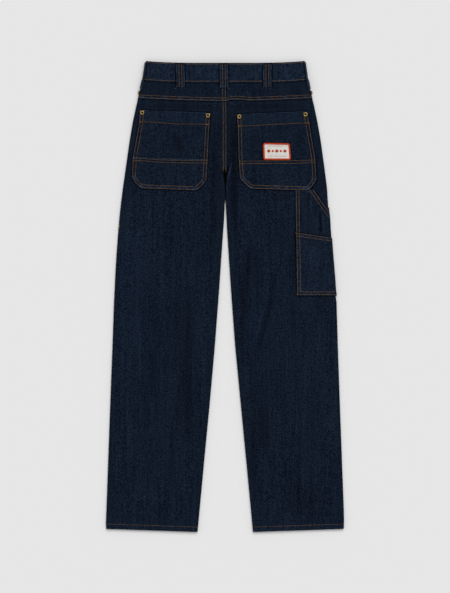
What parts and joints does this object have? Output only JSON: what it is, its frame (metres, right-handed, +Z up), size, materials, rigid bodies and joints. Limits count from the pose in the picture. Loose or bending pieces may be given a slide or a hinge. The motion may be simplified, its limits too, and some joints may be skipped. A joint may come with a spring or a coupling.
{
  "type": "carpenter jeans laid flat",
  "caption": "Straight-leg denim work jeans laid flat with the back up, with yoke, belt loops, patch back pockets and tool pockets on one leg.",
  "frame": {"origin": "centre of the garment's bounding box, on the surface it lies on", "axes": "+Y from the hems to the waist, +X to the right of the back as seen from above, +Z up out of the back"},
  "size_m": [0.5448, 1.0774, 0.0131],
  "materials": {
    "denim": "dark indigo twill denim with slubs, copper-brown topstitching and slightly paler worn edges",
    "patch_cloth": null,
    "aged_brass": "aged brass, satin, dark in the recesses",
    "zip": "brass zip on a dark woven tape"
  },
  "bodies": {
    "root": {"back_left": "denim", "back_right": "denim", "front_left": "denim", "front_right": "denim", "yoke_left": "denim", "yoke_right": "denim", "front_pocket_left": "denim", "front_pocket_right": "denim", "waistband": "denim", "belt_loop_back_left": "denim", "belt_loop_back": "denim", "belt_loop_back_right": "denim", "belt_loop_side_left": "denim", "belt_loop_side_right": "denim", "belt_loop_front_left": "denim", "belt_loop_front_right": "denim", "back_pocket_left": "denim", "back_pocket_right": "denim", "tool_pocket": "denim", "rule_pocket": "denim", "patch": "patch_cloth", "rivet_left_outer": "aged_brass", "rivet_left_inner": "aged_brass", "rivet_right_inner": "aged_brass", "rivet_right_outer": "aged_brass", "rivet_front_left": "aged_brass", "rivet_front_right": "aged_brass", "waist_button": "aged_brass", "fly_zip": "zip"}
  },
  "joints": []
}
